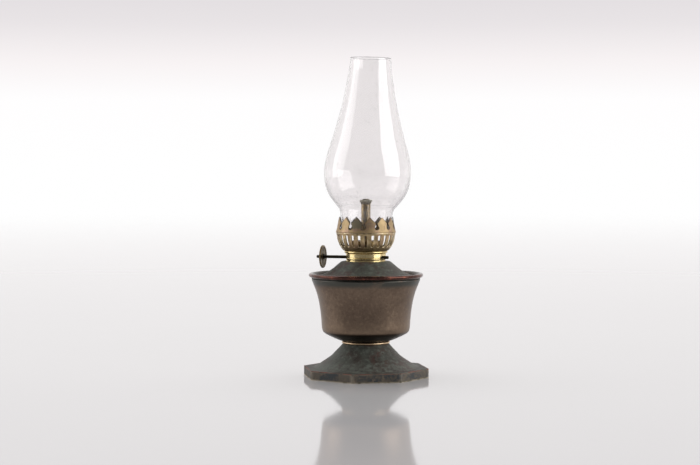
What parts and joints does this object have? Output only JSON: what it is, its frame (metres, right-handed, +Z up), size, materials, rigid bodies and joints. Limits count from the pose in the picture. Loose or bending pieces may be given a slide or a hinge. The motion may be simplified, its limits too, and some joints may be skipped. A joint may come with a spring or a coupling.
{
  "type": "oil lamp",
  "caption": "Small table oil lamp: octagonal trumpet foot, flared metal bowl, screw-in burner with crown gallery, wick raiser with thumb wheel, clear glass chimney.",
  "frame": {"origin": "on the lamp's axis, in the plane that the foot stands on", "axes": "+Z up along the lamp's axis, +X and +Y square to flats of the octagonal foot, -Y towards the front; the thumb wheel is on the -X side"},
  "size_m": [0.0852, 0.0852, 0.2297],
  "materials": {
    "verdigris_bronze": "aged, mottled grey-green patina",
    "dark_bronze": "dark patina",
    "oxidised_bronze": "aged, satin, dark brown patina",
    "copper_bead": "rubbed, reddish",
    "aged_brass": "dull, tarnished",
    "polished_brass": "polished",
    "basket_brass": "tarnished, semi-gloss",
    "crown_copper": "tarnished, gold and copper",
    "tarnished_tube": "heat-tarnished, grey",
    "wheel_brass": "dark, worn at the knurl",
    "dark_shaft": "dark, oily",
    "cork": "dark cork",
    "cotton_wick": "woven cotton",
    "clear_glass": "clear, fire-polished, slightly dusty"
  },
  "bodies": {
    "font": {"foot_pedestal": "verdigris_bronze", "foot_plate": "dark_bronze", "stud_washer": "aged_brass", "stud_nut": "aged_brass", "tie_stud": "aged_brass", "neck_ring": "copper_bead", "font_bowl": "oxidised_bronze", "font_shoulder": "verdigris_bronze", "font_collar": "polished_brass"},
    "gasket": {"burner_gasket": "cork"},
    "burner": {"burner_screw": "polished_brass", "burner_cup": "polished_brass", "spur_box": "aged_brass", "wick_tube": "tarnished_tube", "tube_flange": "tarnished_tube", "vent_tube": "aged_brass", "air_diffuser": "aged_brass", "gallery_basket": "basket_brass", "gallery_crown": "crown_copper"},
    "raiser": {"raiser_shaft": "dark_shaft", "spur_wheels": "aged_brass", "shaft_collars": "aged_brass", "thumb_wheel": "wheel_brass", "wheel_hub": "dark_shaft"},
    "wick": {"wick": "cotton_wick"},
    "glass": {"chimney": "clear_glass"}
  },
  "joints": [
    {"name": "burner_turn", "type": "hinge", "parent": "font", "child": "gasket", "pos_m": [0, 0, 0.0832], "axis": [0, 0, 1], "range_deg": [0, 920]},
    {"name": "burner_rise", "type": "slide", "parent": "gasket", "child": "burner", "axis": [0, 0, 1], "range_m": [0, 0.0064]},
    {"name": "wick_travel", "type": "slide", "parent": "burner", "child": "wick", "axis": [0, 0, 1], "range_m": [-0.0076, 0.006]},
    {"name": "raiser_turn", "type": "hinge", "parent": "burner", "child": "raiser", "pos_m": [-0.00228, -0.00467, 0.0863], "axis": [0.8988, -0.4384, 0], "range_deg": [-178, 141]},
    {"name": "chimney_lift", "type": "slide", "parent": "burner", "child": "glass", "axis": [0, 0, 1], "range_m": [0, 0.06]}
  ],
  "couplings": [
    {"joint": "burner_rise", "follows": "burner_turn", "m_per_rad": 0.00039789},
    {"joint": "raiser_turn", "follows": "wick_travel", "rad_per_m": 408.16}
  ]
}
